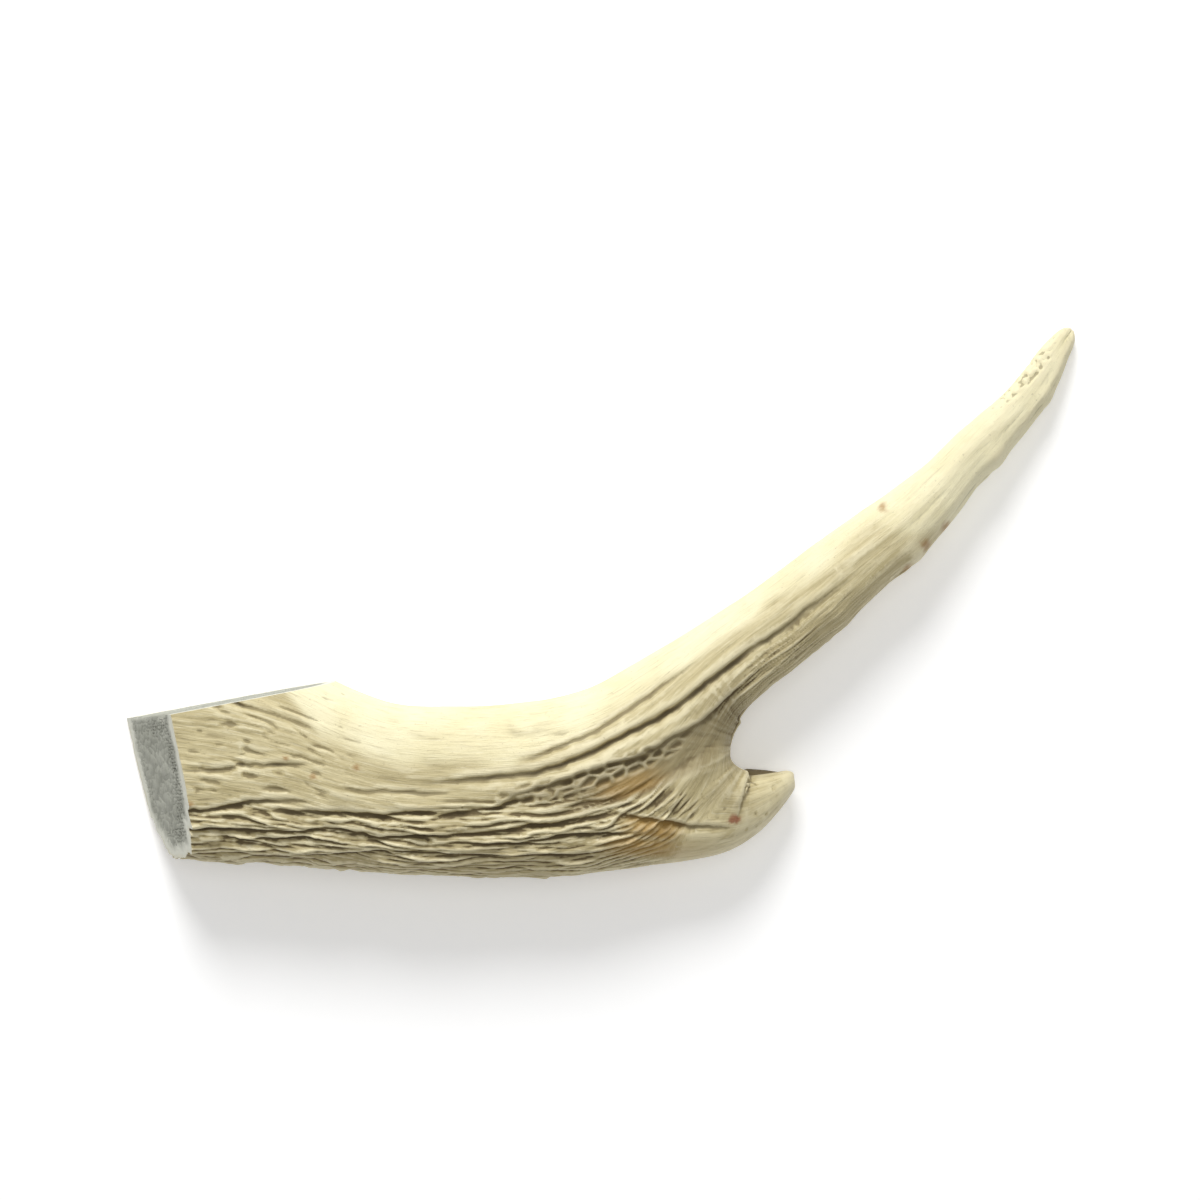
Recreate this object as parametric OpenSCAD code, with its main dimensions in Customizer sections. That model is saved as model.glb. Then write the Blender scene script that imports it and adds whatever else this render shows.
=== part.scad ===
// Sawn antler fork: a short length of beam with two saw cuts, one long tine and one short spur.
// It lies on its side. X runs along the length, Y across the fork, Z up from the table.
// Millimetres. The origin is at the middle of the footprint, on the table.

/* [Antler] */
// Overall length, from the sawn corner to the tip of the long tine
overall_length = 220; // [180:1:260]
// Thickness of the dense bone around the beam
wall = 2.4; // [1.8:0.1:3]
// How square the sawn end's section is: 2 is an oval
beam_squareness = 2.9; // [2:0.1:3.2]
// How square a limb's section is at its tip
tip_squareness = 2; // [1.8:0.1:2.4]

/* [Saw cuts] */
// Lean of the end cut away from square
end_cut_lean = 26; // [16:1:34]
// Slope of the side cut along the beam
side_cut_slope = 10.6; // [8:0.2:13]
// Roll of the side cut about the beam
side_cut_roll = 1.6; // [0:0.2:4]

/* [Fork] */
// Radius of the rounded notch between the tine and the spur
notch_radius = 7.4; // [6.6:0.2:8.4]

/* [Facets] */
// Sides around the beam and the long tine
tine_sides = 32; // [20:4:36]
// Sides around the spur and the web
spur_sides = 24; // [16:4:28]
// Rings between two stations
rings_per_station = 2; // [1:1:2]

/* [Hidden] */

compact_colour = [0.80, 0.74, 0.58];
spongy_colour = [0.60, 0.60, 0.57];

// The stations below are drawn for this overall length
drawn_length = 220;
size_ratio = overall_length / drawn_length;

// A station is a slice across a limb: the two ends of the slice as seen from above,
// its half depth, and the height of its lowest point.
//   [left_x, left_y, right_x, right_y, half_depth, lift]

// The beam, and the long tine that carries on from it
tine_stations = [
    [-132, 4, -118, -58, 14.6, 0.8],
    [-106, -3, -99, -59.2, 14.6, 0.5],
    [-86, -7, -83, -59.9, 14.6, 0],
    [-71, -12.5, -69, -60.5, 14.6, 0.2],
    [-59, -19, -56, -61.6, 14.5, 0.4],
    [-47.5, -23.2, -43, -62.7, 14.3, 0.5],
    [-36, -24.2, -29, -63, 14.1, 0.4],
    [-25.5, -24.2, -14, -62.7, 13.9, 0.2],
    [-16, -23.3, 0, -61.2, 13.6, 0],
    [-8, -21.9, 12, -57, 13.2, 0.3],
    [0, -19.2, 20, -50, 12.6, 0.8],
    [8, -14.6, 25.4, -41.5, 12, 1.3],
    [16, -9.8, 28.8, -33.2, 11.5, 1.8],
    [22.5, -5.8, 32.8, -25.6, 11, 2.4],
    [29, -1.4, 40.2, -18.4, 10.3, 3],
    [36.4, 3.4, 47, -13.4, 9.8, 3.6],
    [44.2, 9.3, 53.8, -7.5, 9.4, 4.1],
    [51.9, 15, 60.8, -1.2, 8.9, 4.4],
    [59.7, 20.5, 67.7, 5.2, 8.3, 4.5],
    [67.3, 25.7, 74.8, 11.6, 7.6, 4.4],
    [74.3, 31.1, 81.3, 19.2, 6.9, 4.1],
    [81.2, 37.8, 87, 26.8, 6.2, 3.6],
    [87.3, 43.2, 92.8, 32.8, 5.5, 3],
    [93, 48, 98, 38.9, 4.8, 2.4],
    [97.6, 53, 102.3, 44.9, 4.2, 1.8],
    [101.3, 57.6, 105.7, 50.2, 3.6, 1.2],
    [104.3, 60.6, 108.2, 55.9, 2.9, 0.7],
    [106.2, 62.2, 109.5, 58.7, 2.2, 0.6],
    [107.6, 62.9, 109.9, 60.6, 1.4, 1],
    [108.6, 63, 109.8, 61.9, 0.7, 1.5],
];

// The short spur, rooted inside the beam
spur_stations = [
    [-34, -37, -30, -60.4, 9.5, 3.5],
    [-20, -38, -15, -62, 10.2, 2.2],
    [-6, -38.2, -2, -62, 10.8, 1.2],
    [8, -37.4, 10, -60.8, 11, 0.7],
    [19, -37, 19.5, -59.6, 10.7, 0.4],
    [27, -38.6, 26.5, -58.4, 10, 0.3],
    [33, -40.1, 32, -56.4, 8.8, 0.4],
    [37, -39.9, 36.5, -53.4, 7.3, 0.9],
    [40.5, -39.5, 40, -49.8, 5.6, 1.9],
    [43.2, -39.2, 42.8, -46.4, 3.9, 3.2],
    [44.6, -39.8, 44.6, -43.8, 2.2, 4.6],
    [45, -40.8, 45.1, -42.5, 0.9, 5.8],
];

// The web around the notch: part of a ring, seen from above, thinnest where it meets each limb
notch_centre = [36.3, -33];
web_from = 126;
web_to = 252;
web_step = 14;
web_reach = 11;
web_extra_reach = 5;
web_half_depth = 9.6;
web_end_share = 0.68;
web_height = 11.6;
web_stations = [
    for (a = [web_from:web_step:web_to])
        let (
            bulge = sin(180 * (a - web_from) / (web_to - web_from)),
            out = [cos(a), sin(a)],
            inner = notch_centre + notch_radius * out,
            outer = inner + (web_reach + web_extra_reach * bulge) * out,
            half_depth = web_half_depth * (web_end_share + (1 - web_end_share) * bulge)
        )
        [inner[0], inner[1], outer[0], outer[1], half_depth, web_height - half_depth]
];

// The core runs full size to the fork, then thins out inside each limb.
//   [station where it starts to thin, station where it ends]
tine_core = [11, 21];
spur_core = [4, 9];
web_core = [20, 30];
// The core's skin starts and stops this many stations inside the bone's
core_start = 0.25;
core_stop = 0.02;

// Saw cuts
saw_size = 200;
sawn_corner = [-110, -27.4, 0.5];
end_cut_heading = 192.5;

// A smooth curve from b to c, with a before it and d after it
function smooth4(a, b, c, d, t) =
    b + 0.5 * t * (c - a + t * (2 * a - 5 * b + 4 * c - d + t * (3 * (b - c) + d - a)));

// A station at any place along a list of them
function station_at(list, s) =
    let (
        last = len(list) - 1,
        i = min(floor(s), last - 1)
    )
    smooth4(list[max(i - 1, 0)], list[i], list[i + 1], list[min(i + 2, last)], s - i);

// How much of the core's section is left at a place along a limb
function core_share(s, core) =
    s <= core[0] ? 1 : sqrt(max(0, 1 - pow((s - core[0]) / (core[1] - core[0]), 2)));

// How square a limb's section is, from 0 at its root to 1 at its tip
function squareness(part_way) =
    beam_squareness + (tip_squareness - beam_squareness) * sqrt(part_way);

// A power of a signed number that keeps its sign
function signed_pow(v, p) = sign(v) * pow(abs(v), p);

// The ring of points around a limb at one place. inset is 0 on the outer surface.
function ring(list, s, sides, inset, core) =
    let (
        st = station_at(list, s),
        left = [st[0], st[1]],
        right = [st[2], st[3]],
        middle = (left + right) / 2,
        half_width = norm(left - right) / 2,
        across = (left - right) / (2 * half_width),
        share = inset > 0 ? core_share(s, core) : 1,
        w = (half_width - inset) * share,
        d = (st[4] - inset) * share,
        height = st[5] + st[4],
        power = 2 / squareness(s / (len(list) - 1))
    )
    [
        for (k = [0:sides - 1])
            let (
                angle = 360 * k / sides,
                u = w * signed_pow(cos(angle), power),
                v = d * signed_pow(sin(angle), power)
            )
            [middle[0] + across[0] * u, middle[1] + across[1] * u, height + v]
    ];

// A whole limb: one closed skin over rings from its first station to its last
module limb(list, sides, inset, core) {
    last_station = len(list) - 1;
    first = inset > 0 ? core_start : 0;
    last = inset > 0 ? min(last_station, core[1]) - core_stop : last_station;
    steps = rings_per_station * ceil(last - first);
    points = [
        for (i = [0:steps]) each ring(list, first + (last - first) * i / steps, sides, inset, core)
    ];
    skin = [
        for (i = [0:steps - 1], k = [0:sides - 1])
            let (j = i * sides, m = (k + 1) % sides)
            [j + k, j + sides + k, j + sides + m, j + m]
    ];
    near_end = [for (k = [0:sides - 1]) k];
    far_end = [for (k = [sides - 1:-1:0]) steps * sides + k];
    polyhedron(points = points, faces = concat(skin, [near_end, far_end]));
}

// The antler before it was sawn, or its core when inset is the wall
module unsawn(inset) {
    scale(size_ratio) union() {
        limb(tine_stations, tine_sides, inset, tine_core);
        limb(spur_stations, spur_sides, inset, spur_core);
        limb(web_stations, spur_sides, inset, web_core);
    }
}

// What the two saw cuts took away
module sawn_off() {
    scale(size_ratio) translate(sawn_corner) {
        rotate([0, 0, end_cut_heading])
            rotate([0, -end_cut_lean, 0])
                translate([0, -saw_size / 2, -saw_size / 2]) cube(saw_size);
        rotate([0, 0, side_cut_slope])
            rotate([side_cut_roll, 0, 0])
                translate([-saw_size / 2, 0, -saw_size / 2]) cube(saw_size);
    }
}

// The dense, pale outer bone, open at the two saw cuts
module compact_bone() {
    color(compact_colour) difference() {
        unsawn(0);
        sawn_off();
        unsawn(wall);
    }
}

// The porous inner bone, flush with the saw cuts
module spongy_core() {
    color(spongy_colour) difference() {
        unsawn(wall);
        sawn_off();
    }
}

compact_bone();
spongy_core();
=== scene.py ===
"""Sawn antler fork: the looks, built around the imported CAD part.

The same limbs as in the CAD are swept much finer here and blended into one skin. The skin is carved with
the grooves, ledges and pits of real antler, then sawn by the same two cuts. Shapes are in millimetres
until a mesh is made, and the meshes are in metres.
"""

import itertools
import math

import bmesh
import bpy
import numpy as np
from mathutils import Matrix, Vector
from mathutils.bvhtree import BVHTree
from mathutils.geometry import delaunay_2d_cdt


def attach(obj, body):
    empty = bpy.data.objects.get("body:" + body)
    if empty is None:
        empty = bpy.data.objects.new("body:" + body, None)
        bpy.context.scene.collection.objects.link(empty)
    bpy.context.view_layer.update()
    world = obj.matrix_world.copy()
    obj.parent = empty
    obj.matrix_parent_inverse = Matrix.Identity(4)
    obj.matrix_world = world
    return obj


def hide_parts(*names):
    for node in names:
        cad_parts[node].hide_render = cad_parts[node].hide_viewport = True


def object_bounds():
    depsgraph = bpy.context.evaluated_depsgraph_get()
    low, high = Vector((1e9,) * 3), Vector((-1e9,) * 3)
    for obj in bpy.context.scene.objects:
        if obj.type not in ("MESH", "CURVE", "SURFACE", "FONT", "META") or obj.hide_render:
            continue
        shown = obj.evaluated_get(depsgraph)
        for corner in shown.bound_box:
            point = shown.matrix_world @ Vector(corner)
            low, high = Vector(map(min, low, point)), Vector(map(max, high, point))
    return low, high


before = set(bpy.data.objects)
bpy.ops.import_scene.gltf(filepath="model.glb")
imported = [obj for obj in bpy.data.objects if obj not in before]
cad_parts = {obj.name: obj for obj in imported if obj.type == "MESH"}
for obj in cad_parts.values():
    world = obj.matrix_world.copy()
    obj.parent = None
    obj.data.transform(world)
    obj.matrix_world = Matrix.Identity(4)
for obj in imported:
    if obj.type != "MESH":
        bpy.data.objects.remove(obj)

CAD_BOX = [list(corner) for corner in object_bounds()]
MM = 0.001
DRAWN_BOX_LENGTH = 219.82
SIZE_RATIO = (CAD_BOX[1][0] - CAD_BOX[0][0]) / (DRAWN_BOX_LENGTH * MM)

# ---------------------------------------------------------------- the limbs, as in the CAD

# left_x, left_y, right_x, right_y, half_depth, lift
TINE_STATIONS = [
    (-132, 4, -118, -58, 14.6, 0.8),
    (-106, -3, -99, -59.2, 14.6, 0.5),
    (-86, -7, -83, -59.9, 14.6, 0),
    (-71, -12.5, -69, -60.5, 14.6, 0.2),
    (-59, -19, -56, -61.6, 14.5, 0.4),
    (-47.5, -23.2, -43, -62.7, 14.3, 0.5),
    (-36, -24.2, -29, -63, 14.1, 0.4),
    (-25.5, -24.2, -14, -62.7, 13.9, 0.2),
    (-16, -23.3, 0, -61.2, 13.6, 0),
    (-8, -21.9, 12, -57, 13.2, 0.3),
    (0, -19.2, 20, -50, 12.6, 0.8),
    (8, -14.6, 25.4, -41.5, 12, 1.3),
    (16, -9.8, 28.8, -33.2, 11.5, 1.8),
    (22.5, -5.8, 32.8, -25.6, 11, 2.4),
    (29, -1.4, 40.2, -18.4, 10.3, 3),
    (36.4, 3.4, 47, -13.4, 9.8, 3.6),
    (44.2, 9.3, 53.8, -7.5, 9.4, 4.1),
    (51.9, 15, 60.8, -1.2, 8.9, 4.4),
    (59.7, 20.5, 67.7, 5.2, 8.3, 4.5),
    (67.3, 25.7, 74.8, 11.6, 7.6, 4.4),
    (74.3, 31.1, 81.3, 19.2, 6.9, 4.1),
    (81.2, 37.8, 87, 26.8, 6.2, 3.6),
    (87.3, 43.2, 92.8, 32.8, 5.5, 3),
    (93, 48, 98, 38.9, 4.8, 2.4),
    (97.6, 53, 102.3, 44.9, 4.2, 1.8),
    (101.3, 57.6, 105.7, 50.2, 3.6, 1.2),
    (104.3, 60.6, 108.2, 55.9, 2.9, 0.7),
    (106.2, 62.2, 109.5, 58.7, 2.2, 0.6),
    (107.6, 62.9, 109.9, 60.6, 1.4, 1),
    (108.6, 63, 109.8, 61.9, 0.7, 1.5),
]
SPUR_STATIONS = [
    (-34, -37, -30, -60.4, 9.5, 3.5),
    (-20, -38, -15, -62, 10.2, 2.2),
    (-6, -38.2, -2, -62, 10.8, 1.2),
    (8, -37.4, 10, -60.8, 11, 0.7),
    (19, -37, 19.5, -59.6, 10.7, 0.4),
    (27, -38.6, 26.5, -58.4, 10, 0.3),
    (33, -40.1, 32, -56.4, 8.8, 0.4),
    (37, -39.9, 36.5, -53.4, 7.3, 0.9),
    (40.5, -39.5, 40, -49.8, 5.6, 1.9),
    (43.2, -39.2, 42.8, -46.4, 3.9, 3.2),
    (44.6, -39.8, 44.6, -43.8, 2.2, 4.6),
    (45, -40.8, 45.1, -42.5, 0.9, 5.8),
]
NOTCH_CENTRE = (36.3, -33)
NOTCH_RADIUS = 7.4
WEB_ANGLES = range(126, 253, 14)

ROOT_SQUARENESS = 2.9
TIP_SQUARENESS = 2.0
WALL = 2.4

SAWN_CORNER = (-110, -27.4, 0.5)
END_CUT_NORMAL = (-0.877489, -0.194535, 0.438371)
SIDE_CUT_NORMAL = (-0.183879, 0.982552, 0.027922)
CUTS = (END_CUT_NORMAL, SIDE_CUT_NORMAL)
# The saw reached no further along the beam than this
SAW_REACH = -38

# ---------------------------------------------------------------- the skin's resolution

SKIN_VOXEL = 0.38
CORE_VOXEL = 0.8
SKIN_TRIANGLES = 180000
# How far apart two limbs' skins may be and still be blended
BLEND = 4.0
# What is left outside the cuts until the last saw pass
SPARE = 3.0
THINNEST_WALL = 0.9
# Points handled at once, so that the tables of distances stay small
POINTS_AT_ONCE = 20000
FLAT_POINTS_AT_ONCE = 4000


def web_stations():
    """Part of a ring round the notch, seen from above, thinnest where it meets each limb."""
    first, last = WEB_ANGLES[0], WEB_ANGLES[-1]
    stations = []
    for angle in WEB_ANGLES:
        out = np.array([math.cos(math.radians(angle)), math.sin(math.radians(angle))])
        bulge = math.sin(math.pi * (angle - first) / (last - first))
        inner = np.array(NOTCH_CENTRE) + NOTCH_RADIUS * out
        outer = inner + (11 + 5 * bulge) * out
        half_depth = 9.6 * (0.68 + 0.32 * bulge)
        stations.append((*inner, *outer, half_depth, 11.6 - half_depth))
    return stations


def smooth_curve(knots, place):
    """Points of a Catmull-Rom curve through the knots. place counts knots."""
    knots = np.asarray(knots, float)
    last = len(knots) - 1
    i = np.minimum(place.astype(int), last - 1)
    t = (place - i)[:, None]
    a, b = knots[np.maximum(i - 1, 0)], knots[i]
    c, d = knots[i + 1], knots[np.minimum(i + 2, last)]
    return b + 0.5 * t * (c - a + t * (2 * a - 5 * b + 4 * c - d + t * (3 * (b - c) + d - a)))


class Limb:
    """A swept limb, held as closely spaced upright sections."""

    def __init__(self, stations, per_station=9):
        last = len(stations) - 1
        self.place = np.linspace(0, last, last * per_station + 1)
        sections = smooth_curve(stations, self.place)
        left, right = sections[:, 0:2], sections[:, 2:4]
        self.middle = (left + right) / 2
        self.half_width = np.linalg.norm(left - right, axis=1) / 2
        self.across = (left - right) / (2 * self.half_width[:, None])
        self.forward = np.stack([self.across[:, 1], -self.across[:, 0]], axis=1)
        self.half_depth = sections[:, 4]
        self.height = sections[:, 4] + sections[:, 5]
        self.power = ROOT_SQUARENESS + (TIP_SQUARENESS - ROOT_SQUARENESS) * np.sqrt(self.place / last)
        steps = np.linalg.norm(np.diff(self.middle, axis=0), axis=1)
        self.arc = np.concatenate([[0], np.cumsum(steps)])

    def skin(self, sides, inset=0, thins=None):
        """Points and faces of the closed skin. With an inset it is the core's, which thins to nothing."""
        rows = np.arange(len(self.place))
        share = np.ones(len(rows))
        if thins:
            start, end = thins
            rows = rows[(self.place >= 0.25) & (self.place <= end - 0.02)]
            part = np.clip((self.place - start) / (end - start), 0, 1)
            share = np.sqrt(1 - part**2)
        angle = np.linspace(0, 2 * math.pi, sides, endpoint=False)
        points = []
        for i in rows:
            bend = 2 / self.power[i]
            u = (self.half_width[i] - inset) * share[i] * signed_power(np.cos(angle), bend)
            v = (self.half_depth[i] - inset) * share[i] * signed_power(np.sin(angle), bend)
            plan = self.middle[i] + self.across[i] * u[:, None]
            points.append(np.column_stack([plan, self.height[i] + v]))
        faces = []
        for i, k in itertools.product(range(len(rows) - 1), range(sides)):
            j, m = i * sides, (k + 1) % sides
            faces.append((j + k, j + m, j + sides + m, j + sides + k))
        faces.append(tuple(range(sides - 1, -1, -1)))
        faces.append(tuple((len(rows) - 1) * sides + k for k in range(sides)))
        return np.concatenate(points), faces


def signed_power(value, power):
    return np.sign(value) * np.abs(value) ** power


class Place:
    """Where points lie on a limb: how far along, where round it, and how far outside its skin."""

    def __init__(self, limb, points):
        starts = range(0, len(points), POINTS_AT_ONCE)
        parts = [self.read(limb, points[i : i + POINTS_AT_ONCE]) for i in starts]
        self.arc, self.round_x, self.round_z, self.gap = np.concatenate(parts, axis=1)

    @staticmethod
    def read(limb, points):
        plan = points[:, :2]
        ahead = plan @ limb.forward.T - (limb.middle * limb.forward).sum(1)
        side = plan @ limb.across.T - (limb.middle * limb.across).sum(1)
        between = (ahead[:, :-1] >= 0) & (ahead[:, 1:] < 0)
        cost = np.where(between, np.abs(side / limb.half_width)[:, :-1], np.inf)
        j = cost.argmin(1)
        every = np.arange(len(points))
        beyond = ~between[every, j]
        to_last = np.linalg.norm(plan - limb.middle[-1], axis=1)
        to_first = np.linalg.norm(plan - limb.middle[0], axis=1)
        j = np.where(beyond, np.where(to_last < to_first, len(limb.arc) - 2, 0), j)
        step = ahead[every, j] - ahead[every, j + 1]
        t = np.clip(ahead[every, j] / np.where(np.abs(step) < 1e-9, 1, step), 0, 1)

        def at(values):
            return values[j] * (1 - t) + values[j + 1] * t

        u = side[every, j] * (1 - t) + side[every, j + 1] * t
        v = points[:, 2] - at(limb.height)
        u_part, v_part = u / at(limb.half_width), v / at(limb.half_depth)
        power = at(limb.power)
        reach = np.maximum((np.abs(u_part) ** power + np.abs(v_part) ** power) ** (1 / power), 1e-3)
        gap = np.where(beyond, 1000, np.hypot(u, v) * (1 - 1 / reach))
        return np.stack([at(limb.arc), u_part / reach, v_part / reach, gap])


def blended(a, b, width):
    """The smaller of two gaps, rounded off where they are nearly equal."""
    overlap = np.maximum(width - np.abs(a - b), 0) / width
    return np.minimum(a, b) - overlap**2 * width / 4


TINE, SPUR, WEB = Limb(TINE_STATIONS), Limb(SPUR_STATIONS), Limb(web_stations())

# ---------------------------------------------------------------- meshes and number work


def as_mesh(name, parts):
    """One mesh object out of several (points, faces), given in millimetres."""
    points, faces, start = [], [], 0
    for part_points, part_faces in parts:
        points.append(part_points)
        faces += [tuple(start + i for i in face) for face in part_faces]
        start += len(part_points)
    mesh = bpy.data.meshes.new(name)
    mesh.from_pydata((np.concatenate(points) * MM * SIZE_RATIO).tolist(), [], faces)
    obj = bpy.data.objects.new(name, mesh)
    bpy.context.scene.collection.objects.link(obj)
    return obj


def applied(obj, kind, **settings):
    """The object's mesh with one modifier applied."""
    modifier = obj.modifiers.new(kind, kind)
    for key, value in settings.items():
        setattr(modifier, key, value)
    depsgraph = bpy.context.evaluated_depsgraph_get()
    made = bpy.data.meshes.new_from_object(obj.evaluated_get(depsgraph))
    obj.modifiers.clear()
    obj.data = made
    return made


def remeshed(obj, voxel):
    return applied(obj, "REMESH", mode="VOXEL", voxel_size=voxel * MM)


def get_points(mesh):
    flat = np.empty(len(mesh.vertices) * 3)
    mesh.vertices.foreach_get("co", flat)
    return flat.reshape(-1, 3) / (MM * SIZE_RATIO)


def set_points(mesh, points):
    mesh.vertices.foreach_set("co", (points * MM * SIZE_RATIO).ravel())
    mesh.update()


def get_normals(mesh):
    flat = np.empty(len(mesh.vertices) * 3)
    mesh.vertex_normals.foreach_get("vector", flat)
    return flat.reshape(-1, 3)


def get_edges(mesh):
    flat = np.empty(len(mesh.edges) * 2, int)
    mesh.edges.foreach_get("vertices", flat)
    return flat.reshape(-1, 2)


def averaged(values, edges, rounds):
    """Values at points, each replaced by the mean of itself and its neighbours, rounds times."""
    count = len(values)
    a, b = edges[:, 0], edges[:, 1]
    degree = np.bincount(edges.ravel(), minlength=count) + 1
    columns = values.reshape(count, -1).T.copy()
    for _ in range(rounds):
        for i, column in enumerate(columns):
            near = np.bincount(a, column[b], count) + np.bincount(b, column[a], count)
            columns[i] = (near + column) / degree
    return columns.T.reshape(values.shape)


def step_up(value, low, high):
    """0 below low, 1 above high, smooth in between. low may be the larger."""
    t = np.clip((value - low) / (high - low), 0, 1)
    return t * t * (3 - 2 * t)


RANDOM = np.random.RandomState(11)
DIRECTIONS = RANDOM.normal(size=(256, 3))
DIRECTIONS /= np.linalg.norm(DIRECTIONS, axis=1, keepdims=True)
JITTER = RANDOM.uniform(0.15, 0.85, size=(256, 3))


def lattice_number(cell, seed):
    """A number from 0 to 255 for each lattice cell."""
    mixed = cell[:, 0] * 73856093 ^ cell[:, 1] * 19349663 ^ cell[:, 2] * 83492791 ^ seed * 26544357
    mixed ^= mixed >> 13
    mixed = (mixed * 1274126177) & 0x7FFFFFFF
    return (mixed ^ (mixed >> 11)) & 255


def noise(points, seed):
    """Smooth noise, about -1 to 1, with features one unit across."""
    base = np.floor(points).astype(np.int64)
    inside = points - base
    ease = inside**3 * (inside * (inside * 6 - 15) + 10)
    total = np.zeros(len(points))
    for corner in itertools.product((0, 1), repeat=3):
        corner = np.array(corner)
        slope = DIRECTIONS[lattice_number(base + corner, seed)]
        weight = np.where(corner, ease, 1 - ease).prod(1)
        total += weight * (slope * (inside - corner)).sum(1)
    return total * 1.6


def rough_noise(points, seed, octaves=3):
    total, size = np.zeros(len(points)), 1.0
    for i in range(octaves):
        total += noise(points / size, seed + i) * size
        size /= 2
    return total / 1.5


def cell_walls(points, seed):
    """0 on the walls between random cells, rising towards 1 at their middles."""
    base = np.floor(points).astype(np.int64)
    nearest = np.full(len(points), 9.0)
    second = nearest.copy()
    for shift in itertools.product((-1, 0, 1), repeat=3):
        cell = base + np.array(shift)
        away = np.linalg.norm(cell + JITTER[lattice_number(cell, seed)] - points, axis=1)
        second = np.minimum(second, np.maximum(nearest, away))
        nearest = np.minimum(nearest, away)
    return second - nearest


# ---------------------------------------------------------------- the carving

# Long grooves, as (half width, [(x, y, depth), ...]) seen from above
GROOVES = [
    (1.3, [(-46, -41, 0), (-34, -40.4, 0.4), (-25.5, -39.6, 0.8), (-14.5, -38.4, 1.1), (-6, -35.4, 1.4),
           (5, -30.2, 1.6), (14, -25.6, 1.6), (20.5, -21.2, 1.5), (27, -16.3, 1.3), (34, -11, 1.0),
           (40, -7.2, 0.8), (50, 0.5, 0.4), (61.5, 9, 0)]),
    (0.9, [(-20, -36, 0), (-14.5, -34.6, 0.4), (-8, -32, 0.5), (-1.5, -29.2, 0.55), (7.5, -23.4, 0.5),
           (17, -17, 0.3), (27, -10, 0)]),
    (1.0, [(-24, -44.6, 0), (-17, -43, 0.7), (-10, -41.2, 1.0), (-1.5, -38.4, 1.2), (3, -36.5, 1.2),
           (9.5, -34.8, 1.1), (16, -31, 1.1), (23.5, -27, 1.0), (31, -20.5, 0.8), (38, -14, 0)]),
    (1.1, [(-80, -46.6, 0), (-74, -46.9, 0.5), (-67.5, -47.4, 0.8), (-58.5, -47.8, 0.9), (-49, -48, 1.1),
           (-41, -47.6, 1.1), (-32.5, -47.3, 1.1), (-24.5, -46.9, 1.2), (-19, -45.2, 1.1), (-13, -43.6, 0)]),
    (1.0, [(-98, -47.8, 0.6), (-92, -47.4, 1.0), (-87, -46.9, 1.1), (-81.5, -45.9, 1.1), (-77, -44.8, 0.9),
           (-70, -44.9, 0.6), (-62, -45.4, 0)]),
    (1.1, [(-98, -52.4, 0.7), (-92, -52.2, 1.2), (-83, -51.8, 1.2), (-74, -52, 1.1), (-67.5, -52.2, 1.1),
           (-61, -51.3, 1.0), (-54.5, -52.7, 1.1), (-49, -53.6, 1.2), (-41, -53, 1.2), (-36.5, -53, 1.1),
           (-24.5, -52.3, 1.2), (-19, -51.2, 1.2), (-10, -50.1, 1.0), (-1.5, -48.8, 0.9), (5, -47.2, 0)]),
    (0.9, [(-86, -53.4, 0), (-83, -53.6, 0.8), (-78, -54.1, 0.9), (-65, -53.8, 0.8), (-58, -54.6, 0)]),
    (0.9, [(-30, -55, 0), (-24.5, -54.9, 0.9), (-14.5, -54.3, 1.0), (-6, -53, 1.1), (5, -52.7, 0.8),
           (10, -52.4, 0)]),
    (1.1, [(2, -47.5, 0), (9.5, -49.2, 0.8), (18.5, -50.5, 0.9), (25, -51.4, 0.6), (31, -52, 0)]),
    (0.8, [(-94, -37.4, 0), (-88, -37.7, 0.5), (-83, -37.5, 0.6), (-80, -36.6, 0.5), (-75, -37, 0.6),
           (-69, -36.8, 0.4), (-62, -36.4, 0)]),
    (0.8, [(-84, -22, 0.2), (-81.5, -22.9, 0.5), (-74.5, -24.9, 0.5), (-67.5, -27.1, 0.4), (-62, -30, 0)]),
    (1.0, [(-98, -57.8, 0.5), (-92, -57.7, 0.9), (-83, -57.5, 0.9), (-70, -58.2, 0.8), (-46, -57, 0.9),
           (-32, -57.6, 0.9), (-16, -58, 0.7), (0, -57, 0.5), (10, -55.5, 0)]),
    (0.7, [(-60, -41.6, 0), (-50, -42.6, 0.4), (-38, -43, 0.4), (-26, -42.4, 0)]),
]
# The deep fold between the tine's root and the spur: (x, y, depth)
FOLD = [(-14, -46, 0), (-4, -44, 0.9), (6, -41, 1.5), (14, -37.5, 1.9), (22, -33, 1.7), (28, -28.5, 1.0),
        (34, -22, 0)]
# The band of small open cells just above the fold
CELL_BAND = [(-26, -46, 0), (-18, -43.8, 0.7), (-8, -42, 1), (4, -38.2, 1), (14, -34, 0.9), (22, -30, 0)]
# The row of pits near the tip of the tine
TIP_PITS = [(89, 43, 0), (93, 46.6, 0.6), (97.2, 50.7, 1), (99.3, 52.7, 1), (101.3, 55, 0.9), (104, 58.6, 0.7),
            (106.5, 61, 0)]
# Low swellings on the lower edge of the tine: (x, y, radius, height)
SWELLINGS = [(72.4, 9.4, 5, 0.8), (91.5, 31.1, 4.5, 0.7), (103.1, 46.1, 3.5, 0.6), (55, -5, 5, 0.5),
             (42, -16, 5, 0.5)]
# Where the rough lower half of the beam begins, and where the smooth upper side ends
ROUGH_EDGE = [(-115, -45), (-60, -46.5), (-22, -45.5), (0, -41), (14, -40), (26, -47), (40, -56)]
SMOOTH_EDGE = [(-115, -5), (-80, -12), (-62, -30), (-45, -37), (-20, -36.5), (0, -28), (20, -15), (40, 0),
               (62, 16)]
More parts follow.
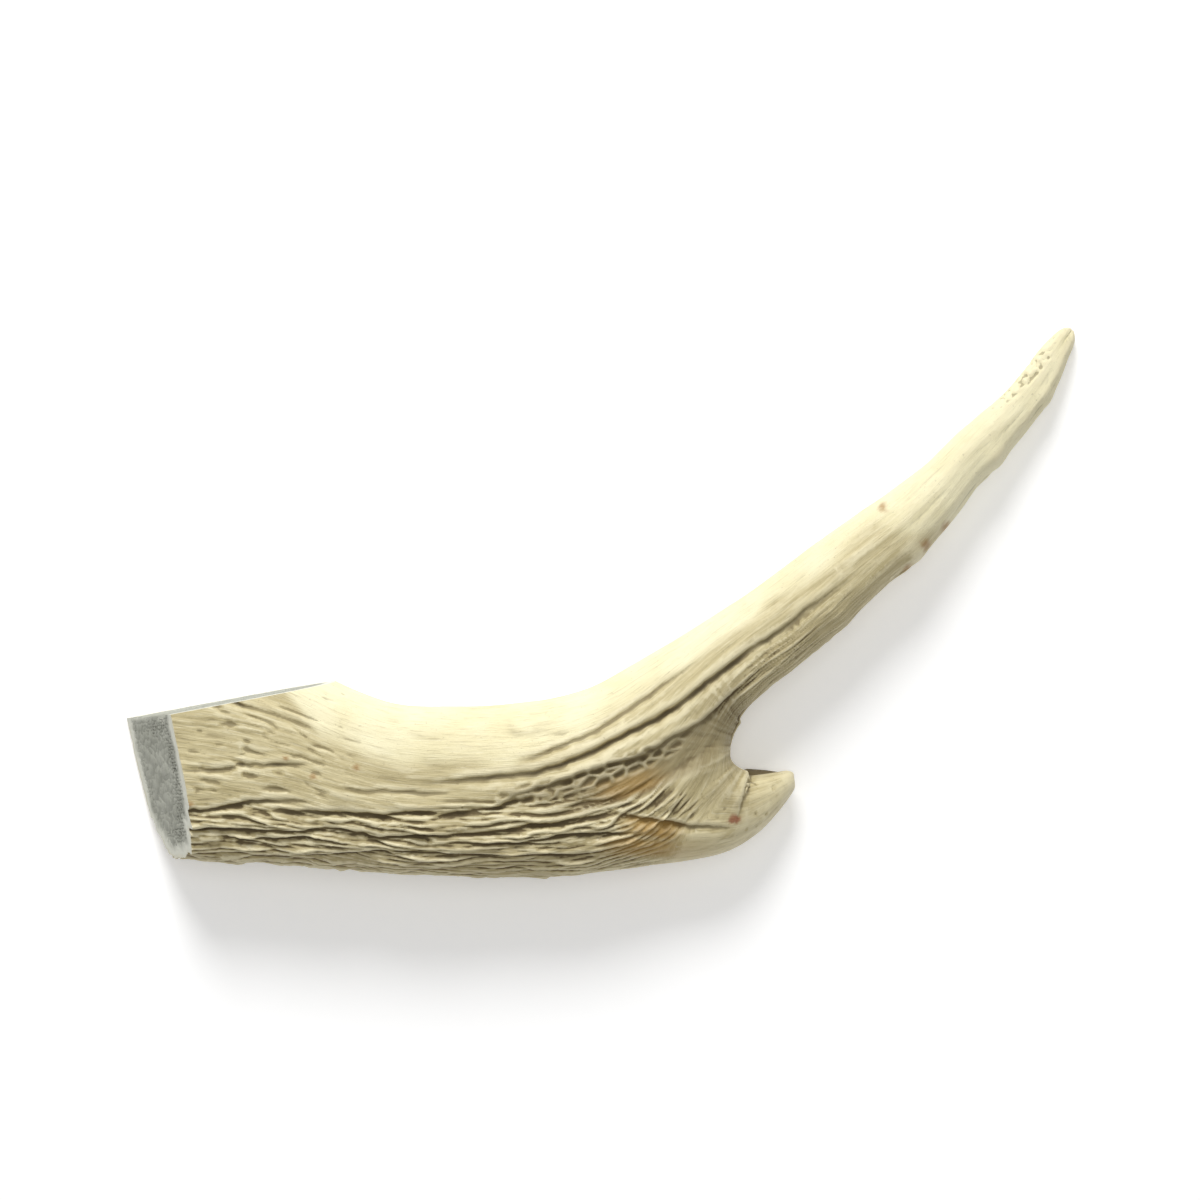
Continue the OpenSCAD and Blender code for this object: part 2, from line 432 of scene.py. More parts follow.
# The dark band along the lower edge of the tine's first half
TINE_EDGE = [(26, -29, 0), (31, -24.5, 1), (38, -16.5, 1), (46, -10.5, 1), (54, -4.5, 0.8), (62, 1, 0.5),
             (72, 10, 0)]


def near_curve(plan, knots, within):
    """For points near a curve: which they are, offset to its left, its third value, how far along."""
    places = np.linspace(0, len(knots) - 1, (len(knots) - 1) * 8 + 1)
    line = smooth_curve(knots, places)
    low, high = line[:, :2].min(0) - within, line[:, :2].max(0) + within
    near = np.flatnonzero(((plan > low) & (plan < high)).all(1))
    starts, runs = line[:-1, :2], np.diff(line[:, :2], axis=0)
    lengths = np.linalg.norm(runs, axis=1)
    offset, value, along = np.full(len(near), 1e3), np.zeros(len(near)), np.zeros(len(near))
    for i in range(0, len(near), POINTS_AT_ONCE):
        chunk = slice(i, i + POINTS_AT_ONCE)
        rel = plan[near[chunk], None] - starts
        t = np.clip((rel * runs).sum(2) / lengths**2, 0, 1)
        miss = rel - t[:, :, None] * runs
        far = np.linalg.norm(miss, axis=2)
        best = far.argmin(1)
        every = np.arange(len(best))
        side = runs[best, 0] * miss[every, best, 1] - runs[best, 1] * miss[every, best, 0]
        part = t[every, best]
        offset[chunk] = far[every, best] * np.sign(side)
        value[chunk] = line[best, 2] * (1 - part) + line[best + 1, 2] * part
        along[chunk] = best + part
    inside = np.abs(offset) < within
    return near[inside], offset[inside], np.maximum(value[inside], 0), along[inside]


def band(plan, knots, half_width):
    """A mask that follows a curve: its third value on the curve, fading to 0 at half_width."""
    mask = np.zeros(len(plan))
    near, offset, value, _ = near_curve(plan, knots, half_width)
    mask[near] = value * (1 - step_up(np.abs(offset), half_width * 0.35, half_width))
    return mask


def ledges(across, flow, spacing, lip, seed):
    """Overlapping ledges that run along the limb, each with a steep lower side. From 0 to 1."""
    wander = 1.2 * noise(flow / (24, 7, 7), seed) + 0.5 * noise(flow / (8, 3, 3), seed + 1)
    count = across / spacing + wander
    line = np.floor(count)
    part = count - line
    profile = np.minimum((part / (1 - lip)) ** 1.3, (1 - part) / lip)
    kept = noise(np.column_stack([flow[:, 0] / 9, line * 3.7, np.sign(flow[:, 2]) * 5.3]), seed + 2)
    return np.clip(profile, 0, 1) * step_up(kept, -0.45, 0.3)


class Skin:
    """Everything that the carving and the colouring need to know about points of the skin."""

    def __init__(self, points):
        self.points = points
        tine, spur = Place(TINE, points), Place(SPUR, points)
        self.tine, self.spur = tine, spur
        self.tine_flow = np.column_stack([tine.arc, 27 * tine.round_x, 14 * tine.round_z])
        self.spur_flow = np.column_stack([spur.arc + 70, 11 * spur.round_x, 10 * spur.round_z])
        self.on_spur = step_up(tine.gap - spur.gap, 0.5, 5) * step_up(points[:, 0], 0, 14)
        # The underside has the same features, shifted, so that the two sides aren't twins
        under = tine.round_z < 0
        drift = noise(np.column_stack([points[:, 0] / 30, points[:, 1] / 30, under * 4.0]), 3)
        self.plan = points[:, :2] + under[:, None] * np.column_stack([4 + 3 * drift, 1.5 + 2.5 * drift])
        x, y = self.plan.T
        wobble = 2.2 * noise(np.column_stack([points[:, :2] / 11, under * 9.0]), 5)
        rough_from = np.interp(x, *np.array(ROUGH_EDGE).T)
        smooth_to = np.interp(x, *np.array(SMOOTH_EDGE).T)
        self.rough = step_up(rough_from - y + wobble, -2.5, 3.5) * step_up(x, 30, 12)
        self.smooth = step_up(y - smooth_to + wobble, -3, 3)
        self.left = step_up(x, -48, -70) * (1 - self.rough)
        self.tine_edge = band(self.plan, TINE_EDGE, 6.5)
        self.fold = band(self.plan, FOLD, 5.5)
        self.cells = band(self.plan, CELL_BAND, 3.4)
        self.pits = band(self.plan, TIP_PITS, 2.0)
        from_notch = points[:, :2] - NOTCH_CENTRE
        self.notch_reach = np.linalg.norm(from_notch, axis=1)
        self.notch_angle = np.arctan2(from_notch[:, 1], -from_notch[:, 0])
        self.web = step_up(self.notch_reach, 21, 13) * step_up(x, 37, 30)

    def across(self):
        """Millimetres round the beam, from the middle of its upper face towards its lower edge."""
        tine = self.tine
        return 27 * -tine.round_x + 14 * np.sign(-tine.round_x) * (1 - np.abs(tine.round_z))


def carved(skin):
    """How far each point of the skin moves out, in millimetres."""
    flow, plan = skin.tine_flow, skin.plan
    soft = (1 - skin.on_spur) * skin.rough
    out = 0.35 * noise(flow / (26, 10, 10), 21) + 0.15 * noise(flow / (9, 5, 5), 22)

    # Ledges: coarse on the rough half, fine beside it, faint on the tine and spur
    across = skin.across()
    coarse = ledges(across, flow, 3.4, 0.2, 31)
    medium = ledges(across + 40, flow, 1.9, 0.26, 41)
    fine = ledges(across + 80, flow, 1.1, 0.35, 51)
    middle = (1 - skin.smooth) * (1 - skin.rough) * step_up(plan[:, 0], 62, 20)
    out += (coarse - 0.6) * (0.8 * soft + 0.05 * skin.left)
    out += (medium - 0.5) * (0.5 * soft + 0.1 * skin.left + 0.05 * middle + 0.35 * skin.tine_edge)
    out += (fine - 0.5) * (0.2 * soft + 0.08 * skin.left + 0.06 * middle + 0.2 * skin.tine_edge + 0.015)
    out += 0.35 * soft * rough_noise(flow / (4.5, 1.8, 1.8), 61)
    out += 0.05 * rough_noise(flow / (12, 1.6, 1.6), 66) * (1 - soft)
    out += 0.06 * rough_noise(skin.spur_flow / (7, 2, 2), 67) * skin.on_spur

    # Short lens-shaped marks on the sawn end's upper half
    lens = noise(flow / (5.5, 1.7, 1.7) + noise(flow / (9, 9, 9), 72)[:, None] * 0.6, 71)
    out -= 0.42 * skin.left * step_up(lens, 0.2, 0.62)

    # The long grooves, each steep on its upper side
    for i, (half_width, knots) in enumerate(GROOVES):
        near, offset, depth, along = near_curve(plan, knots, 6)
        seeds = np.column_stack([along / 14, np.full(len(near), i * 7.7), np.sign(flow[near, 2])])
        offset = offset + 0.45 * noise(seeds, 81) + 0.25 * noise(seeds * (5, 1, 1), 82)
        depth = depth * np.clip(0.95 + 0.5 * noise(seeds * (2.2, 1, 1), 83), 0.3, 1.4)
        upper = 1 - step_up(offset, 0, 0.5 * half_width)
        lower = (1 - step_up(-offset, 0, 2.2 * half_width)) ** 1.2
        out[near] -= depth * np.where(offset > 0, upper, lower)
        out[near] += 0.22 * depth * np.exp(-(((offset - 1.1 * half_width) / half_width) ** 2))

    out -= skin.fold
    walls = cell_walls(np.column_stack([turned(plan, 22) / (4.2, 2.1), np.sign(flow[:, 2])]), 91)
    out -= 1.0 * skin.cells * (step_up(walls, 0.04, 0.4) - 0.35)

    fan = np.column_stack([skin.notch_angle * 9, skin.notch_reach / 11, np.sign(flow[:, 2]) * 3])
    out += 0.3 * skin.web * rough_noise(fan, 95)

    small = noise(skin.points / 1.5, 97)
    out -= 0.55 * skin.pits * step_up(small, 0.0, 0.5)
    pocks = noise(skin.points / 2.2, 98)
    by_notch = step_up(skin.notch_reach, 26, 16) * step_up(plan[:, 1], -38, -44)
    out -= 0.3 * step_up(pocks, 0.42, 0.75) * by_notch
    for x, y, radius, height in SWELLINGS:
        away = np.hypot(plan[:, 0] - x, plan[:, 1] - y)
        out += height * np.exp(-((away / radius) ** 2) * 2)
    return out


def turned(plan, degrees):
    """Plan coordinates along and across a direction."""
    c, s = math.cos(math.radians(degrees)), math.sin(math.radians(degrees))
    return np.column_stack([plan[:, 0] * c + plan[:, 1] * s, plan[:, 1] * c - plan[:, 0] * s])


def make_skin():
    """The whole outer skin, blended, carved and thinned out to a workable number of triangles."""
    obj = as_mesh("skin", [TINE.skin(96), SPUR.skin(72), WEB.skin(72)])
    mesh = remeshed(obj, SKIN_VOXEL)
    trim(mesh, SPARE)
    points, edges = get_points(mesh), get_edges(mesh)
    for _ in range(4):
        gaps = [Place(limb, points).gap for limb in (TINE, WEB, SPUR)]
        gap = blended(blended(gaps[0], gaps[1], BLEND), gaps[2], BLEND)
        moves = np.abs(gap) < 50
        points[moves] -= (get_normals(mesh) * gap[:, None] * 0.8)[moves]
        set_points(mesh, points)
    points = averaged(points, edges, 2)
    set_points(mesh, points)

    out = carved(Skin(points))
    points = points + get_normals(mesh) * out[:, None]
    points[:, 2] = np.maximum(points[:, 2], 0.02)
    set_points(mesh, points)
    smooth_points = averaged(points, edges, 1)
    points = points * 0.6 + smooth_points * 0.4
    set_points(mesh, points)

    triangles = 2 * len(mesh.polygons)
    applied(obj, "DECIMATE", ratio=min(1, SKIN_TRIANGLES / triangles))
    return obj


def cut_plane(normal, spare=0.0):
    """A saw cut's point and normal in metres, moved out by spare millimetres."""
    normal = Vector(normal)
    return (Vector(SAWN_CORNER) * SIZE_RATIO + normal * spare) * MM, normal


def cut_away(bm, normal, spare=0.0):
    """Removes what lies outside one saw cut, leaving the cut open."""
    point, direction = cut_plane(normal, spare)
    limit = SAW_REACH * MM * SIZE_RATIO
    verts = [v for v in bm.verts if v.co.x < limit]
    edges = [e for e in bm.edges if all(v.co.x < limit for v in e.verts)]
    faces = [f for f in bm.faces if all(v.co.x < limit for v in f.verts)]
    cutting = {"plane_co": point, "plane_no": direction, "clear_outer": True, "dist": 1e-7}
    bmesh.ops.bisect_plane(bm, geom=verts + edges + faces, **cutting)


def trim(mesh, spare):
    """Cuts away what lies outside both saw cuts, leaving the ends open."""
    bm = bmesh.new()
    bm.from_mesh(mesh)
    for normal in CUTS:
        cut_away(bm, normal, spare)
    bm.to_mesh(mesh)
    bm.free()


# ---------------------------------------------------------------- colouring masks on the skin

# The red-brown spot on the spur: x, y, half length, half width
RED_SPOT = (30.5, -49.8, 1.5, 1.0)
# Small orange-brown stains: (x, y, radius)
BROWN_SPOTS = [
    (-70.2, -35.4, 0.8), (-64.1, -39.4, 0.9), (-54.6, -37.5, 0.7), (64, 21, 1.2), (59.5, 26.5, 0.9),
    (-92, -45.6, 0.9), (79, 16.5, 1.6), (74, 12.5, 1.4), (70, 7, 1.2),
]
# Ochre bands by the spur: (x, y, strength)
OCHRE_BANDS = [
    [(3, -50.5, 0), (9, -51, 0.9), (15, -52, 1), (21, -53, 0)],
    [(-2, -56.5, 0), (5, -55.6, 0.8), (12, -56, 0.9), (20, -56.6, 0.5), (28, -56, 0)],
    [(-4, -43.5, 0), (4, -42.4, 0.6), (11, -40, 0.7), (17, -37, 0)],
]


def put(mesh, name, values):
    """Stores a mask, or a vector, at every point of a mesh."""
    kind = "FLOAT" if values.ndim == 1 else "FLOAT_VECTOR"
    attribute = mesh.attributes.new(name, kind, "POINT")
    attribute.data.foreach_set("value" if values.ndim == 1 else "vector", values.astype(np.float32).ravel())


def colour_masks(mesh):
    """Writes what the bone's material reads: how hollow each point is, and where on the antler it lies."""
    points, normals, edges = get_points(mesh), get_normals(mesh), get_edges(mesh)
    skin = Skin(points)
    for name, rounds in (("crease", 5), ("hollow", 40)):
        lifted = ((points - averaged(points, edges, rounds)) * normals).sum(1)
        put(mesh, name, lifted)
    stain = np.zeros(len(points))
    for x, y, radius in BROWN_SPOTS:
        away = np.hypot(skin.plan[:, 0] - x, skin.plan[:, 1] - y) + 0.5 * noise(points / 1.5, 7)
        stain = np.maximum(stain, step_up(away, radius * 1.3, radius * 0.3))
    x, y, long_radius, short_radius = RED_SPOT
    ragged = 0.25 * noise(points / 0.9, 9)
    red = np.hypot((points[:, 0] - x) / long_radius, (points[:, 1] - y) / short_radius) + ragged
    ochre = np.max([band(skin.plan, knots, 3.2) for knots in OCHRE_BANDS], axis=0)
    put(mesh, "grain", skin.tine_flow)
    put(mesh, "spur_grain", skin.spur_flow)
    put(mesh, "on_spur", skin.on_spur)
    put(mesh, "rough", np.maximum(skin.rough * (1 - skin.on_spur), 0.85 * skin.tine_edge))
    put(mesh, "cream", skin.smooth)
    # Mask for painted shade: the fold and the band of cells, and the web at half strength
    put(mesh, "shade", np.clip(np.maximum(skin.fold, skin.cells) + 0.5 * skin.web, 0, 1))
    put(mesh, "ochre", ochre)
    put(mesh, "stain", stain)
    put(mesh, "red", step_up(red, 1.15, 0.75) * (points[:, 2] > 8))


# ---------------------------------------------------------------- the core and the sawn faces

PORE_GRID = 0.72


def make_core(skin):
    """The surface between dense and porous bone, kept inside the carved skin."""
    obj = as_mesh("core", [
        TINE.skin(64, WALL, (11, 21)), SPUR.skin(48, WALL, (4, 9)), WEB.skin(48, WALL, (20, 30)),
    ])
    mesh = remeshed(obj, CORE_VOXEL)
    trim(mesh, SPARE)
    points, normals = get_points(mesh), get_normals(mesh)
    tree = BVHTree.FromObject(skin, bpy.context.evaluated_depsgraph_get())
    for i, point in enumerate(points):
        _, _, _, distance = tree.find_nearest(Vector(point * MM * SIZE_RATIO))
        short = THINNEST_WALL - distance / (MM * SIZE_RATIO)
        if short > 0:
            points[i] -= normals[i] * short
    set_points(mesh, averaged(points, get_edges(mesh), 2))
    return obj


def inside_loops(points, loops):
    """Which of these flat points lie inside the closed loops, given as pairs of end points."""
    a, b = loops[:, 0], loops[:, 1]
    inside = np.zeros(len(points), bool)
    for i in range(0, len(points), FLAT_POINTS_AT_ONCE):
        chunk = slice(i, i + FLAT_POINTS_AT_ONCE)
        x, y = points[chunk, 0, None], points[chunk, 1, None]
        spans = (a[:, 1] > y) != (b[:, 1] > y)
        rise = np.where(b[:, 1] == a[:, 1], 1, b[:, 1] - a[:, 1])
        crossing = a[:, 0] + (y - a[:, 1]) * (b[:, 0] - a[:, 0]) / rise
        inside[chunk] = (spans & (x < crossing)).sum(1) % 2 == 1
    return inside


def nearest_distance(points, others):
    far = np.empty(len(points))
    for i in range(0, len(points), FLAT_POINTS_AT_ONCE):
        chunk = slice(i, i + FLAT_POINTS_AT_ONCE)
        far[chunk] = np.linalg.norm(points[chunk, None] - others, axis=2).min(1)
    return far


def pores(low, high, skin_edge, to_space, seed):
    """Pore openings on a sawn face, as (centre, radius), on a jittered grid. Densest just inside the rim."""
    random = np.random.RandomState(seed)
    columns, rows = (np.ceil((high - low) / PORE_GRID)).astype(int)
    grid = np.stack(np.meshgrid(np.arange(columns), np.arange(rows), indexing="ij"), axis=2).reshape(-1, 2)
    centres = low + (grid + random.uniform(0.22, 0.78, grid.shape)) * PORE_GRID
    depth = nearest_distance(centres, skin_edge)
    height = to_space(centres)[:, 2]
    dense = np.exp(-(((depth - 5.2) / 2.6) ** 2)) * (0.25 + 0.75 * step_up(height, 9, 19))
    chance = 0.18 + 0.75 * dense
    radius = (0.1 + 0.2 * dense) * random.uniform(0.7, 1.25, len(centres))
    kept = (random.uniform(size=len(centres)) < chance) & (depth > WALL + 0.2)
    return list(zip(centres[kept], radius[kept]))


def saw(bm, normal, skin_edge=None, pore_seed=None):
    """Cuts a closed shape and fills the cut with a flat face. Returns the cut's edge on the skin.

    With a pore_seed the face has pores, and skin_edge says where the skin is, because this shape has none.
    """
    cut_away(bm, normal)
    point, direction = cut_plane(normal)
    rim = [e for e in bm.edges if e.is_boundary]
    corners = list(dict.fromkeys(v for e in rim for v in e.verts))
    number = {v: i for i, v in enumerate(corners)}
    unit = MM * SIZE_RATIO
    axis_x = Vector((0, 0, 1)).cross(direction).normalized()
    axis_y = direction.cross(axis_x)
    axes = np.array([axis_x, axis_y])
    origin = np.array(point) / unit

    def to_space(flat):
        return origin + flat @ axes

    flat = (np.array([v.co for v in corners]) / unit - origin) @ axes.T
    ends = [(number[e.verts[0]], number[e.verts[1]]) for e in rim]
    loops = flat[np.array(ends)]
    core_layer, pore_layer = bm.verts.layers.float["of_core"], bm.verts.layers.float["pore"]
    depth_layer = bm.verts.layers.float["depth"]
    if skin_edge is None:
        on_skin = np.array([v[core_layer] < 0.5 and v[depth_layer] < 0.01 for v in corners])
        skin_edge = flat[on_skin]

    extra, sunk = [], []
    if pore_seed is not None:
        for centre, radius in pores(flat.min(0), flat.max(0), skin_edge, to_space, pore_seed):
            for share, sides, down in ((1, 6, 0), (0.6, 5, 0.9), (0, 1, 1.3)):
                for k in range(sides):
                    angle = 2 * math.pi * (k + share) / sides
                    extra.append(centre + radius * share * np.array([math.cos(angle), math.sin(angle)]))
                    sunk.append(down * radius)
        extra, sunk = np.array(extra), np.array(sunk)
        whole = inside_loops(extra, loops) & (nearest_distance(extra, flat) > 0.12)
        extra, sunk = extra[whole], sunk[whole]
    every = np.concatenate([flat, extra]) if len(extra) else flat
    made, _, faces, source, _, _ = delaunay_2d_cdt([Vector(p) for p in every], ends, [], 0, 1e-6)
    depth = nearest_distance(np.array([tuple(p) for p in made]), skin_edge)
    verts = []
    for i, where in enumerate(made):
        origin_index = source[i][0] if source[i] else len(every)
        if origin_index < len(corners):
            verts.append(corners[origin_index])
            continue
        down = sunk[origin_index - len(corners)] if source[i] else 0
        place = to_space(np.array(where)) - np.array(direction) * down
        vert = bm.verts.new(Vector(place * unit))
        vert[pore_layer] = 1.0 if down else 0.0
        vert[depth_layer] = depth[i]
        verts.append(vert)
    for i, where in enumerate(made):
        if source[i] and source[i][0] < len(corners):
            verts[i][depth_layer] = max(verts[i][depth_layer], depth[i])
    flat_made = np.array([tuple(p) for p in made])
    triangles = np.array(faces)
    filled = inside_loops(flat_made[triangles].mean(1), loops)
    for a, b, c in triangles[filled]:
        try:
            face = bm.faces.new((verts[a], verts[b], verts[c]))
        except ValueError:
            continue
        face.material_index = 1
    for edge in rim:
        edge.smooth = False
    bm.verts.index_update()
    return skin_edge


def sawn_piece(name, surfaces, skin_edges=None):
    """A closed piece out of whole surfaces, (mesh, is core, inside out), cut by both saw cuts."""
    bm = bmesh.new()
    for mesh, of_core, inside_out in surfaces:
        first = len(bm.verts)
        bm.from_mesh(mesh)
        bm.verts.ensure_lookup_table()
        for layer in ("of_core", "pore", "depth"):
            if layer not in bm.verts.layers.float:
                bm.verts.layers.float.new(layer)
        layer = bm.verts.layers.float["of_core"]
        fresh = bm.verts[first:]
        for vert in fresh:
            vert[layer] = float(of_core)
        if inside_out:
            inner_faces = dict.fromkeys(f for v in fresh for f in v.link_faces)
            bmesh.ops.reverse_faces(bm, faces=list(inner_faces))
    edges = []
    for i, normal in enumerate(CUTS):
        edges.append(saw(bm, normal, skin_edges[i] if skin_edges else None, 100 + i if skin_edges else None))
    bmesh.ops.triangulate(bm, faces=[f for f in bm.faces if len(f.verts) > 3])
    for face in bm.faces:
        face.smooth = True
    mesh = bpy.data.meshes.new(name)
    bm.to_mesh(mesh)
    bm.free()
    obj = bpy.data.objects.new(name, mesh)
    bpy.context.scene.collection.objects.link(obj)
    return obj, edges


# ---------------------------------------------------------------- materials


class Shader:
    """A material and short ways to add nodes to it."""

    def __init__(self, name):
        self.material = bpy.data.materials.new(name)
        self.material.use_nodes = True
        self.tree = self.material.node_tree
        self.surface = self.tree.nodes["Principled BSDF"]

    def add(self, kind, inputs=None, **settings):
        node = self.tree.nodes.new("ShaderNode" + kind)
        for key, value in settings.items():
            setattr(node, key, value)
        for key, value in (inputs or {}).items():
            self.join(value, node.inputs[key])
        return node

    def join(self, value, socket):
        if isinstance(value, bpy.types.NodeSocket):
            self.tree.links.new(value, socket)
        else:
            socket.default_value = value

    def mask(self, name):
        return self.add("Attribute", attribute_name=name).outputs["Fac"]

    def vector(self, name):
        return self.add("Attribute", attribute_name=name).outputs["Vector"]

    def sum(self, operation, a, b=0.0, clamp=False):
        return self.add("Math", {0: a, 1: b}, operation=operation, use_clamp=clamp).outputs[0]

    def ramp(self, value, low, high, start=0.0, end=1.0):
        inputs = {"Value": value, "From Min": low, "From Max": high, "To Min": start, "To Max": end}
        return self.add("MapRange", inputs, interpolation_type="SMOOTHSTEP").outputs[0]

    def mix(self, share, a, b, blend="MIX"):
        node = self.add("Mix", data_type="RGBA", blend_type=blend, clamp_factor=True)
        for value, socket in ((share, node.inputs[0]), (a, node.inputs[6]), (b, node.inputs[7])):
            self.join(value, socket)
        return node.outputs[2]

    def stretched(self, vector, scale):
        return self.add("Mapping", {"Vector": vector, "Scale": scale}).outputs[0]

    def noise(self, vector, scale, detail=3.0, rough=0.55):
        inputs = {"Vector": vector, "Scale": scale, "Detail": detail, "Roughness": rough}
        return self.add("TexNoise", inputs).outputs["Fac"]

    def bump(self, height, strength, distance, normal=None):
        inputs = {"Height": height, "Strength": strength, "Distance": distance}
        if normal:
            inputs["Normal"] = normal
        return self.add("Bump", inputs).outputs[0]

    def finish(self, colour, roughness, normal):
        self.join(colour, self.surface.inputs["Base Color"])
        self.join(roughness, self.surface.inputs["Roughness"])
        self.join(normal, self.surface.inputs["Normal"])
        return self.material


def tone(red, green, blue):
    """A colour given as 0 to 255 screen values."""
    parts = [c / 255 for c in (red, green, blue)]
    return (*[c / 12.92 if c <= 0.04045 else ((c + 0.055) / 1.055) ** 2.4 for c in parts], 1.0)


def skin_material():
    s = Shader("antler_skin")
    crease, hollow, rough = s.mask("crease"), s.mask("hollow"), s.mask("rough")
    cream, shade, on_spur = s.mask("cream"), s.mask("shade"), s.mask("on_spur")
    grain = s.mix(on_spur, s.vector("grain"), s.vector("spur_grain"))
    spot = s.add("TexCoord").outputs["Object"]

    long_streaks = s.noise(s.stretched(grain, (0.05, 0.55, 0.55)), 1.0, 4.0, 0.6)
    thin_streaks = s.noise(s.stretched(grain, (0.16, 2.2, 2.2)), 1.0, 5.0, 0.65)
    fibres = s.noise(s.stretched(grain, (0.5, 5.0, 5.0)), 1.0, 3.0, 0.6)
    cloud = s.noise(spot, 55.0, 3.0)
    speckle = s.noise(spot, 1500.0, 2.0, 0.7)

    # Cream on the smooth upper side and the tine, tan on the beam
    pale = s.mix(s.ramp(cloud, 0.35, 0.65), tone(243, 235, 196), tone(232, 222, 178))
    tan = s.mix(s.ramp(long_streaks, 0.35, 0.65), tone(214, 201, 156), tone(190, 176, 130))
    colour = s.mix(s.ramp(cream, 0.0, 1.0), tan, pale)
    colour = s.mix(s.sum("MULTIPLY", rough, 0.55), colour, tone(168, 152, 106))
    colour = s.mix(s.ramp(thin_streaks, 0.52, 0.72, 0, 0.45), colour, tone(158, 142, 98))
    colour = s.mix(s.ramp(thin_streaks, 0.46, 0.3, 0, 0.4), colour, tone(247, 241, 212))

    # Crests worn pale; grooves darkened brown, partly their own old brown and partly painted shade, most on
    # the rough half
    worn = s.sum("MULTIPLY", s.ramp(crease, 0.01, 0.12), s.ramp(cloud, 0.3, 0.6, 0.35, 0.8))
    colour = s.mix(worn, colour, tone(236, 226, 188))
    groove_dirt_and_shade = s.sum("MULTIPLY", s.ramp(crease, -0.005, -0.11), s.ramp(rough, 0, 0.8, 0.55, 0.95))
    colour = s.mix(groove_dirt_and_shade, colour, tone(104, 88, 54))
    # Painted shade: the broad hollows darkened towards dark brown
    deep = s.ramp(hollow, -0.1, -0.75, 0, 0.75)
    colour = s.mix(deep, colour, tone(84, 70, 42))
    # Painted shade in the fold, the band of open cells and the web
    colour = s.mix(s.sum("MULTIPLY", shade, 0.55), colour, tone(112, 96, 62))

    # Stains
    ochre = s.sum("MULTIPLY", s.mask("ochre"), s.ramp(cloud, 0.35, 0.6, 0.3, 0.8))
    colour = s.mix(ochre, colour, tone(176, 138, 66))
    colour = s.mix(s.sum("MULTIPLY", s.mask("stain"), 0.75), colour, tone(160, 116, 56))
    colour = s.mix(s.sum("MULTIPLY", s.mask("red"), 0.85), colour, tone(150, 84, 52))
    colour = s.mix(s.ramp(speckle, 0.62, 0.78, 0, 0.35), colour, tone(120, 104, 68))

    normal = s.bump(fibres, 0.35, 0.00025)
    normal = s.bump(thin_streaks, 0.5, 0.0004, normal)
    normal = s.bump(speckle, 0.2, 0.00012, normal)
    roughness = s.ramp(s.sum("ADD", crease, s.sum("MULTIPLY", cloud, 0.08)), -0.08, 0.12, 0.72, 0.46)
    return s.finish(colour, roughness, normal)


def sawn_material():
    s = Shader("sawn_bone")
    depth, pore = s.mask("depth"), s.mask("pore")
    spot = s.add("TexCoord").outputs["Object"]
    cloud = s.noise(spot, 140.0, 3.0)
    speckle = s.noise(spot, 2600.0, 3.0, 0.7)
    grit = s.noise(spot, 1100.0, 2.0, 0.6)

    wavy_depth = s.sum("ADD", depth, s.ramp(cloud, 0.3, 0.7, -0.9, 0.9))
    inner = s.mix(s.ramp(cloud, 0.3, 0.7), tone(172, 173, 160), tone(156, 157, 144))
    colour = s.mix(s.ramp(wavy_depth, 1.2, 4.0), tone(226, 226, 212), inner)
    colour = s.mix(s.ramp(wavy_depth, 0.9, 0.0, 0, 0.5), colour, tone(222, 216, 190))
    gritty = s.sum("MULTIPLY", s.ramp(grit, 0.55, 0.75), s.ramp(depth, 2, 5, 0.1, 0.6))
    colour = s.mix(gritty, colour, tone(112, 112, 100))
    colour = s.mix(s.ramp(speckle, 0.55, 0.75, 0, 0.4), colour, tone(228, 228, 218))
    # Painted shade inside the pore openings
    colour = s.mix(s.sum("MULTIPLY", pore, 0.9), colour, tone(70, 68, 58))
    normal = s.bump(grit, 0.4, 0.0002)
    normal = s.bump(speckle, 0.3, 0.0001, normal)
    return s.finish(colour, 0.82, normal)


# ---------------------------------------------------------------- the studio


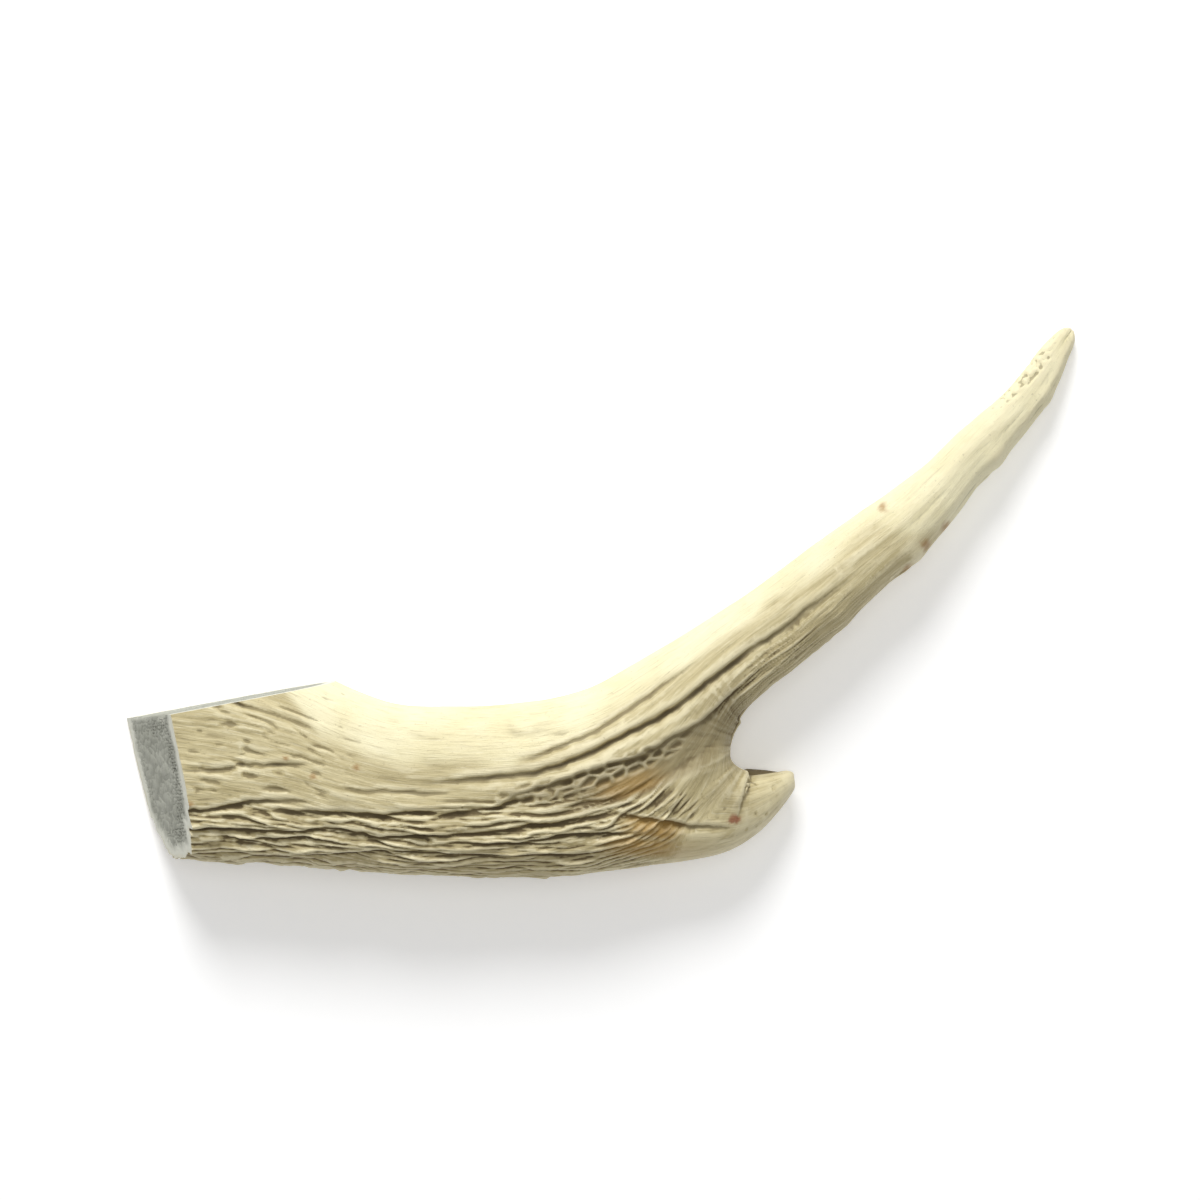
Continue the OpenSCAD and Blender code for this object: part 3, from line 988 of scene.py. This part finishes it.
def make_floor():
    mesh = bpy.data.meshes.new("floor")
    mesh.from_pydata([(-2, -2, 0), (2, -2, 0), (2, 2, 0), (-2, 2, 0)], [], [(0, 1, 2, 3)])
    obj = bpy.data.objects.new("floor", mesh)
    bpy.context.scene.collection.objects.link(obj)
    s = Shader("pale_floor")
    mesh.materials.append(s.material)
    s.surface.inputs["Base Color"].default_value = tone(250, 250, 250)
    s.surface.inputs["Roughness"].default_value = 0.9
    s.surface.inputs["Emission Color"].default_value = (1, 1, 1, 1)
    s.surface.inputs["Emission Strength"].default_value = 0.22


def area_light(name, place, target, size, power):
    light = bpy.data.lights.new(name, "AREA")
    light.shape, light.size, light.energy = "DISK", size, power
    obj = bpy.data.objects.new(name, light)
    obj.location = place
    obj.rotation_euler = (Vector(target) - Vector(place)).to_track_quat("-Z", "Y").to_euler()
    bpy.context.scene.collection.objects.link(obj)


def make_studio():
    scene = bpy.context.scene
    scene.view_settings.view_transform = "Standard"
    world = bpy.data.worlds.new("studio")
    world.use_nodes = True
    world.node_tree.nodes["Background"].inputs["Color"].default_value = (1, 1, 1, 1)
    world.node_tree.nodes["Background"].inputs["Strength"].default_value = 0.34
    scene.world = world
    area_light("key", (-0.12, 0.75, 0.62), (0, -0.02, 0.015), 0.45, 8.0)
    area_light("top", (0.05, 0.1, 1.3), (0, 0, 0), 0.7, 3.0)


def make_camera():
    """Straight down, from far enough off that the sides hardly lean."""
    camera = bpy.data.cameras.new("camera")
    camera.lens, camera.sensor_width = 100, 36
    obj = bpy.data.objects.new("camera", camera)
    view_width = 0.2732 * SIZE_RATIO
    obj.location = (0, 0, view_width * camera.lens / camera.sensor_width + 0.015)
    bpy.context.scene.collection.objects.link(obj)
    bpy.context.scene.camera = obj


def main():
    make_camera()
    make_studio()
    make_floor()
    skin = make_skin()
    core = make_core(skin)
    colour_masks(skin.data)
    bone, skin_edges = sawn_piece("antler_bone", [(skin.data, False, False), (core.data, True, True)])
    porous, _ = sawn_piece("antler_core", [(core.data, True, False)], skin_edges)
    for spare in (skin, core):
        bpy.data.objects.remove(spare)
    skin_look, sawn_look = skin_material(), sawn_material()
    for piece, node in ((bone, "compact_bone"), (porous, "spongy_core")):
        piece.data.materials.append(skin_look if piece is bone else sawn_look)
        piece.data.materials.append(sawn_look)
        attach(piece, "root")
        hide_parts(node)


main()
